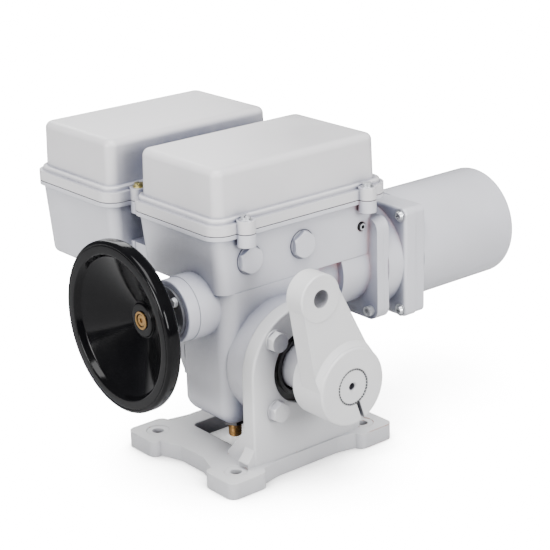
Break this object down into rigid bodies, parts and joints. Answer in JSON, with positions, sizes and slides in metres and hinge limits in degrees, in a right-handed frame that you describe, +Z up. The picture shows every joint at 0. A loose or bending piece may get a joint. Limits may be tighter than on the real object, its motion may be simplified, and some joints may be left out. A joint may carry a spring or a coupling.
{
  "type": "motorized valve actuator",
  "caption": "Quarter-turn valve actuator with a worm gear case on a lugged foot, a motor, a disc handwheel, a clamped crank lever and bolted control boxes.",
  "frame": {"origin": "centre of the four-hole bolt pattern on the underside of the foot, straight below the output shaft", "axes": "+X along the worm axis from the handwheel to the motor, +Y along the output shaft from the crank lever to the rear, +Z up"},
  "size_m": [0.574, 0.489, 0.3675],
  "materials": {
    "case_paint": "light grey semi-gloss enamel over a rough casting",
    "cover_paint": "light grey semi-gloss enamel, slightly warmer",
    "foot_paint": "light grey enamel with chipped edges",
    "lever_paint": "light grey semi-gloss enamel",
    "dark_paint": "satin dark grey",
    "handwheel_black": "polished black moulding",
    "brass": "turned brass",
    "bronze": "machined bronze",
    "shaft_steel": "ground steel",
    "zinc_plate": "bright zinc plate",
    "yellow_zinc": "yellow passivated zinc plate",
    "dark_steel": "blackened steel",
    "bearing_steel": "ground bearing steel",
    "rubber": "black nitrile rubber",
    "laminated_steel": "stacked laminations",
    "copper_winding": "varnished copper wire",
    "board_green": "solder resist",
    "terminal_plastic": "moulded polyamide",
    "relay_plastic": "moulded polyamide",
    "capacitor_aluminium": "drawn aluminium can"
  },
  "bodies": {
    "housing": {"adapter_screws": "zinc_plate", "board_connectors": "terminal_plastic", "bracket_bolts": "lever_paint", "cable_plugs": "case_paint", "capacitor": "capacitor_aluminium", "control_board": "board_green", "dust_ring": "rubber", "earth_screw": "zinc_plate", "feedback_bush": "bronze", "foot_bracket": "foot_paint", "front_cover": "cover_paint", "front_cover_screws": "zinc_plate", "front_gasket": "rubber", "gear_case": "case_paint", "input_cap": "case_paint", "motor_adapter": "case_paint", "motor_bearing_front": "bearing_steel", "motor_bearing_rear": "bearing_steel", "motor_can": "case_paint", "motor_shield": "case_paint", "output_bearing_front": "bearing_steel", "output_bearing_rear": "bearing_steel", "output_seal": "rubber", "plate_screws": "zinc_plate", "potentiometer": "relay_plastic", "potentiometer_bracket": "zinc_plate", "rear_bearing_cover": "case_paint", "rear_bearing_cover_screws": "zinc_plate", "rear_box": "case_paint", "rear_box_screws": "zinc_plate", "rear_cover": "cover_paint", "rear_cover_screws": "yellow_zinc", "rear_gasket": "rubber", "relays": "relay_plastic", "retaining_disc": "dark_paint", "retaining_screws": "zinc_plate", "stator": "laminated_steel", "stator_winding": "copper_winding", "stop_lock_nuts": "dark_steel", "stop_screws": "brass", "terminal_block": "terminal_plastic", "terminal_screws": "zinc_plate", "worm_bearing_left": "bearing_steel", "worm_bearing_right": "bearing_steel", "worm_seal": "rubber"},
    "output": {"output_shaft": "lever_paint", "worm_wheel": "bronze", "wheel_key": "shaft_steel", "shaft_sleeve": "lever_paint", "crank_lever": "lever_paint", "crank_clamp_screw": "zinc_plate"},
    "drive": {"worm_shaft": "shaft_steel", "handwheel": "handwheel_black", "handwheel_bush": "brass", "handwheel_key": "shaft_steel", "handwheel_screw": "brass", "rotor": "laminated_steel", "motor_shaft": "shaft_steel", "shaft_coupling": "shaft_steel"},
    "feedback": {"feedback_shaft": "shaft_steel"}
  },
  "joints": [
    {"name": "output_turn", "type": "hinge", "parent": "housing", "child": "output", "pos_m": [0, 0, 0.125], "axis": [0, 1, 0], "range_deg": [-26, 64]},
    {"name": "drive_turn", "type": "hinge", "parent": "housing", "child": "drive", "pos_m": [0, 0.01, 0.197], "axis": [1, 0, 0], "range_deg": [-1040, 2560]},
    {"name": "feedback_turn", "type": "hinge", "parent": "housing", "child": "feedback", "pos_m": [0.04, 0.0315, 0.197], "axis": [0, 0, 1], "range_deg": [-1040, 2560]}
  ],
  "couplings": [
    {"joint": "drive_turn", "follows": "output_turn", "ratio": 40},
    {"joint": "feedback_turn", "follows": "output_turn", "ratio": 40}
  ]
}
